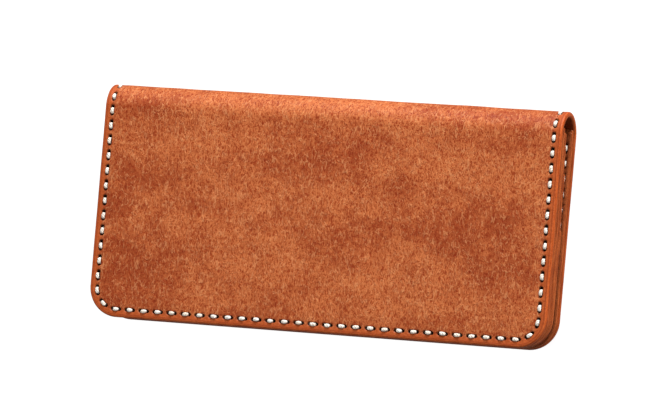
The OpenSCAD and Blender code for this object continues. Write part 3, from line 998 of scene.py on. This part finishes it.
TAPE_W, TAPE_T, TAPE_OVER, TAPE_SET_BACK = 10.0, 0.5, 3.0, 0.9
TOOTH_SLOT, TOOTH_L, TOOTH_T, TOOTH_PITCH = 0.6, 2.3, 1.5, 2.4
SLIDER_L, SLIDER_W, PLATE_T = 9.0, 7.4, 0.5
TAPE_Z = COIN_T + COIN_DEPTH - TAPE_T
CHAIN_Z = TAPE_Z + TAPE_T / 2
CHAIN_L = WINDOW_L - 2 * (SLIDER_L + 3)
SLIDER_X = CHAIN_L / 2 + SLIDER_L / 2 + 0.3


def in_zip(x, y, z):
    """Points around the zipper: y across it and z over the base of the back half's stack."""
    return in_stack(in_back, np.asarray(x, float), ZIP_Y + np.asarray(y, float), np.asarray(z, float))


def tape(name, side, node):
    sheet = Sheet(WINDOW_L + 2 * TAPE_OVER, TAPE_W, 0.8, 0.8, TAPE_T, 0.2, coarse=1.2)
    x, v, n = sheet.x, sheet.v, sheet.n
    bead = 0.14 * bell(v - 0.6, 0.5)
    level = TAPE_Z + TAPE_T - n + np.where(n < TAPE_T / 2, bead, -bead) - 0.05
    points = in_zip(x, side * (TOOTH_SLOT / 2 + TAPE_SET_BACK + v), level)
    faces = turn_outwards(points, sheet.faces)
    place = np.stack([x, v * side, n], -1)
    piece = add_mesh(name, points, faces, TAPE, "zipper_tape", pattern=place)
    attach(piece, "back_half")
    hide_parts(node)


tape("zipper_cloth_upper", 1, "zipper_tape_upper")
tape("zipper_cloth_lower", -1, "zipper_tape_lower")


class Metal:
    """Small metal parts gathered into one piece, drawn in the zipper's own terms."""

    def __init__(self):
        self.points, self.faces, self.count = [], [], 0

    def _take(self, points, faces):
        faces = turn_outwards(points, faces)
        self.points.append(points)
        self.faces += [[i + self.count for i in f] for f in faces]
        self.count += len(points)

    def loft(self, rings, closed=False):
        """A solid through rings of as many points each. A closed one goes on into its first ring."""
        rings = np.asarray(rings, float)
        k, m = rings.shape[:2]
        index = np.arange(k * m).reshape(k, m)
        if closed:
            index = np.concatenate([index, index[:1]], 0)
        around = np.concatenate([index, index[:, :1]], 1)
        faces = quads(around)
        if not closed:
            faces += [index[0][::-1].tolist(), index[-1].tolist()]
        self._take(rings.reshape(-1, 3), faces)

    def bar(self, stations, axis, m=12, square=3.5):
        """A bar along an axis, through stations: where it is, then its middle and half size
        across, and its middle and half size in z."""
        b = (np.arange(m) + 0.5) * 2 * math.pi / m
        cx = np.sign(np.cos(b)) * np.abs(np.cos(b)) ** (2 / square)
        cz = np.sign(np.sin(b)) * np.abs(np.sin(b)) ** (2 / square)
        rings = []
        for at, mid, w, z, h in stations:
            across, up = mid + w * cx, z + h * cz
            along = np.full(m, at)
            rings.append(np.stack([along, across, up] if axis == "x" else [across, along, up], -1))
        self.loft(rings)

    def plate(self, outline, z0, z1, bevel, crown=0.0):
        """A plate over an outline about its own middle, with rounded rims."""
        outline = np.asarray(outline, float)
        middle = outline.mean(0)
        reach = np.abs(outline - middle).max()
        rings = []
        steps = [(0.55, z0, 0), (1 - bevel / reach, z0, 0), (1, z0 + bevel, 0), (1, z1 - bevel, 0)]
        steps += [(1 - 0.4 * bevel / reach, z1 - 0.3 * bevel, 0), (1 - bevel / reach, z1, 0)]
        steps += [(0.8, z1, 0.6), (0.5, z1, 0.9), (0.2, z1, 1.0)]
        for share, z, lift in steps:
            ring = middle + (outline - middle) * share
            rings.append(np.column_stack([ring, np.full(len(ring), z + crown * lift)]))
        self.loft(rings)

    def washer(self, outline, hole, z0, z1, bevel):
        """A plate with a hole in it, given by as many points as its outline."""
        outline, hole = np.asarray(outline, float), np.asarray(hole, float)
        inward = outline - hole
        inward = inward / np.linalg.norm(inward, axis=1)[:, None] * bevel
        rings = []
        for ring, z in (
            (outline, z0 + bevel),
            (outline, z1 - bevel),
            (outline - inward * 0.4, z1 - bevel * 0.25),
            (outline - inward, z1),
            (hole + inward, z1),
            (hole + inward * 0.3, z1 - bevel * 0.3),
            (hole, z1 - bevel),
            (hole, z0 + bevel),
            (hole + inward, z0),
            (outline - inward, z0),
        ):
            rings.append(np.column_stack([ring, np.full(len(ring), z)]))
        self.loft(rings, closed=True)

    def make(self, name, body, nodes):
        local = np.concatenate(self.points)
        points = in_zip(*local.T)
        piece = add_mesh(name, points, self.faces, BRASS, "brass", pattern=local)
        # Normals weighted by area keep the broad faces flat and round only the narrow rims.
        normals = np.zeros_like(points)
        for face in self.faces:
            ring = points[face]
            normals[face] += np.cross(ring, np.roll(ring, -1, 0)).sum(0)
        normals /= np.maximum(np.linalg.norm(normals, axis=1), 1e-12)[:, None]
        piece.data.normals_split_custom_set_from_vertices(normals.tolist())
        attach(piece, body)
        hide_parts(*nodes)


def teeth(name, side, offset, node):
    metal = Metal()
    count = int(CHAIN_L // TOOTH_PITCH)
    root = TOOTH_SLOT / 2 + TOOTH_L
    half_t = TOOTH_T / 2
    for i in range(count):
        x = (i + offset - count / 2) * TOOTH_PITCH
        profile = (
            (root, 0.42, 0.42),
            (root - 0.12, 0.58, 0.62),
            (root - 0.45, 0.66, half_t),
            (root - 1.15, 0.60, half_t),
            (root - 1.5, 0.44, half_t * 0.86),
            (root - 1.8, 0.52, half_t * 0.9),
            (root - 2.1, 0.60, half_t * 0.92),
            (root - 2.24, 0.52, half_t * 0.8),
            (root - 2.32, 0.36, half_t * 0.6),
        )
        metal.bar([(side * at, x, w, CHAIN_Z, h) for at, w, h in profile], "y")
    metal.make(name, "back_half", [node])


teeth("zipper_teeth_brass_upper", 1, 0.25, "zipper_teeth_upper")
teeth("zipper_teeth_brass_lower", -1, 0.75, "zipper_teeth_lower")


def rounded_bar(metal, x0, x1, y, w, z, h, bevel=0.22):
    ends = ((x0, 0.7), (x0 + bevel, 1), (x1 - bevel, 1), (x1, 0.7))
    metal.bar([(x, y, w * k, z, h * k) for x, k in ends], "x", m=16)


def stops():
    metal = Metal()
    x = SLIDER_X + SLIDER_L / 2 + 0.3
    for side in (-1, 1):
        rounded_bar(metal, x, x + 1.5, side * (TOOTH_SLOT / 2 + 0.9), 0.9, CHAIN_Z, 0.75)
    x = -CHAIN_L / 2 - 0.3
    rounded_bar(metal, x - 1.5, x, 0, TOOTH_SLOT / 2 + TOOTH_L, CHAIN_Z, 0.75)
    metal.make("zipper_stops_brass", "back_half", ["zipper_stops"])


stops()

CHANNEL_H = TOOTH_T + 0.2
PIVOT_R, PULL_T, PULL_W, PULL_L, LUG_W, LUG_L = 0.45, 0.9, 6.0, 24.0, 1.1, 2.6
SLIDER_TOP = CHAIN_Z + CHANNEL_H / 2 + PLATE_T
PIVOT_X = SLIDER_X + SLIDER_L / 2 - LUG_L / 2 - 0.4
PIVOT_Z = max(SLIDER_TOP, COIN_TOP) + 0.15 + PULL_T / 2
LUG_OUTER = SLIDER_W / 2 - 1.2


def slider():
    metal = Metal()
    b = np.arange(40) * 2 * math.pi / 40
    ex = np.sign(np.cos(b)) * np.abs(np.cos(b)) ** 0.62 * SLIDER_L / 2
    ey = np.sign(np.sin(b)) * np.abs(np.sin(b)) ** 0.62 * SLIDER_W / 2
    outline = np.stack([SLIDER_X + ex, ey * (0.93 - 0.07 * ex / (SLIDER_L / 2))], -1)
    low = CHAIN_Z - CHANNEL_H / 2
    high = CHAIN_Z + CHANNEL_H / 2
    metal.plate(outline, low - PLATE_T, low, 0.14)
    metal.plate(outline, high, high + PLATE_T, 0.18, crown=0.12)
    rounded_bar(metal, SLIDER_X - 1.2, SLIDER_X + 3.4, 0, 0.18, CHAIN_Z, CHANNEL_H / 2 + 0.1)
    for side in (-1, 1):
        y = side * (SLIDER_W / 2 - 0.42)
        rounded_bar(metal, SLIDER_X - 3.4, SLIDER_X + 3.4, y, 0.24, high - 0.12, 0.3)
        lug = side * (LUG_OUTER - LUG_W / 2)
        z0, z1 = high + 0.2, PIVOT_Z + PULL_T / 2 + 0.15
        x0, x1 = PIVOT_X - LUG_L / 2, PIVOT_X + LUG_L / 2
        arch = np.linspace(0, math.pi, 13)
        mid = (z0 + z1) / 2
        curve = np.stack([PIVOT_X + np.cos(arch) * LUG_L / 2, mid + np.sin(arch) * (z1 - mid)], -1)
        outline_z = np.concatenate([[[x1, z0]], curve, [[x0, z0]]])
        rings = []
        rim = LUG_W / 2 - 0.14
        for k, yy in ((0.9, -LUG_W / 2), (1, -rim), (1, rim), (0.9, LUG_W / 2)):
            c = np.array([PIVOT_X, mid])
            p = c + (outline_z - c) * k
            rings.append(np.stack([p[:, 0], np.full(len(p), lug + yy), p[:, 1]], -1))
        metal.loft(rings)
    metal.make("zipper_slider_brass", "zipper_slider", ["zipper_slider"])


def pull():
    metal = Metal()
    eye = LUG_OUTER - LUG_W - 0.1
    end, r = PIVOT_X - PULL_L, PULL_W / 2
    arc = np.linspace(math.pi / 2, 3 * math.pi / 2, 21)
    x_neck, x_shoulder = PIVOT_X - 6.5, PIVOT_X - 11.0
    top = [(PIVOT_X + 0.1, eye), (PIVOT_X - 3, eye), (x_neck, eye)]
    top += [
        (x_neck + (x_shoulder - x_neck) * t, eye + (r - eye) * float(smooth(t)))
        for t in np.linspace(0.1, 1, 10)
    ]
    top += [(x, r) for x in np.linspace(x_shoulder - 1, end + 0.8, 10)]
    tip = [(end + r * math.cos(b), r * math.sin(b)) for b in arc]
    low = [(x, -y) for x, y in reversed(top)]
    outline = np.array(top + tip + low)
    towards = outline - np.array([end, 0])
    angle = np.arctan2(towards[:, 1], towards[:, 0])
    hole = np.array([end, 0]) + 1.35 * np.stack([np.cos(angle), np.sin(angle)], -1)
    metal.washer(outline, hole, PIVOT_Z - PULL_T / 2, PIVOT_Z + PULL_T / 2, 0.16)
    ends = ((-eye, 0.85), (-eye + 0.15, 1), (eye - 0.15, 1), (eye, 0.85))
    r = PULL_T / 2
    metal.bar([(y, PIVOT_X, r * k, PIVOT_Z, r * k) for y, k in ends], "y", m=16, square=2)
    pin, r = LUG_OUTER - 0.04, 0.9 * PIVOT_R
    metal.bar([(y, PIVOT_X, r, PIVOT_Z, r) for y in (-pin, 0, pin)], "y", m=16, square=2)
    metal.make("zipper_pull_brass", "zipper_pull", ["zipper_pull"])


slider()
pull()


# --- Camera, lights and floor ---

VIEW_TURN, VIEW_TILT, VIEW_ROLL = (math.radians(a) for a in (20.81, -2.46, 4.83))
VIEW_DISTANCE, VIEW_RIGHT, VIEW_UP = 2149.0, 4.56, 10.2
LENS, SENSOR = 297.3, 36.0
# A point inside the front half, at which the camera looks before it moves right and up.
VIEW_MIDDLE = Vector((0, -7.3, 18.15))


def place_camera():
    """A long lens over the front cover, which is turned to the camera's left and rolled a little."""
    lean = TURN - math.pi
    along = Vector((1, 0, 0))
    across = Vector((0, math.cos(lean), math.sin(lean)))
    out = Vector((0, -math.sin(lean), math.cos(lean)))
    back = (along * math.sin(VIEW_TURN) + out * math.cos(VIEW_TURN)) * math.cos(VIEW_TILT)
    back += across * math.sin(VIEW_TILT)
    right = across.cross(back).normalized()
    up = back.cross(right)
    c, s = math.cos(VIEW_ROLL), math.sin(VIEW_ROLL)
    right, up = right * c + up * s, up * c - right * s
    at = VIEW_MIDDLE + back * VIEW_DISTANCE + right * VIEW_RIGHT + up * VIEW_UP
    camera = bpy.data.cameras.new("camera")
    camera.lens, camera.sensor_width = LENS, SENSOR
    camera.clip_start, camera.clip_end = 0.1, 20.0
    seen = bpy.data.objects.new("camera", camera)
    turned = Matrix((right, up, back)).transposed().to_4x4()
    turned.translation = at * MM
    seen.matrix_world = turned
    bpy.context.scene.collection.objects.link(seen)
    bpy.context.scene.camera = seen


def area(name, at, size, power, glossy=True):
    """A round light, at a place in metres, that shines at the origin."""
    light = bpy.data.lights.new(name, "AREA")
    light.shape, light.size, light.energy = "DISK", size, power
    lamp = bpy.data.objects.new(name, light)
    lamp.location = at
    lamp.rotation_mode = "QUATERNION"
    lamp.rotation_quaternion = (-Vector(at)).to_track_quat("-Z", "Y")
    lamp.visible_glossy = glossy
    bpy.context.scene.collection.objects.link(lamp)


FLOOR_HALF, FLOOR_DROP = 6.0, 0.00002


def build_floor():
    """A pale floor just under the wallet, which throws no light of its own on it."""
    mesh = bpy.data.meshes.new("floor")
    r, z = FLOOR_HALF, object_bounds()[0].z - FLOOR_DROP
    mesh.from_pydata([(-r, -r, z), (r, -r, z), (r, r, z), (-r, r, z)], [], [(0, 1, 2, 3)])
    m = Material("floor", 0.9, Specular_IOR_Level=0.1)
    m.shader.inputs["Base Color"].default_value = (0.25, 0.25, 0.25, 1)
    m.shader.inputs["Emission Color"].default_value = (1, 1, 1, 1)
    m.shader.inputs["Emission Strength"].default_value = 0.94
    mesh.materials.append(m.material)
    floor = bpy.data.objects.new("floor", mesh)
    bpy.context.scene.collection.objects.link(floor)
    floor.visible_diffuse = floor.visible_glossy = False


place_camera()
# A key light from beyond the fold, a fill from above on the left, which leaves the gap between
# the halves dark, and a small low light for the stack of edges on the right.
area("light_top", (0.3, 1.3, 0.55), 0.6, 28.0)
area("light_front", (-0.45, -0.1, 1.5), 0.5, 9.4, glossy=False)
area("light_side", (1.3, 0.2, 0.07), 0.12, 10.5, glossy=False)
world = bpy.data.worlds.new("world")
world.use_nodes = True
world.node_tree.nodes["Background"].inputs["Color"].default_value = (1, 1, 1, 1)
world.node_tree.nodes["Background"].inputs["Strength"].default_value = 0.16
bpy.context.scene.world = world
bpy.context.scene.view_settings.view_transform = "Standard"
build_floor()
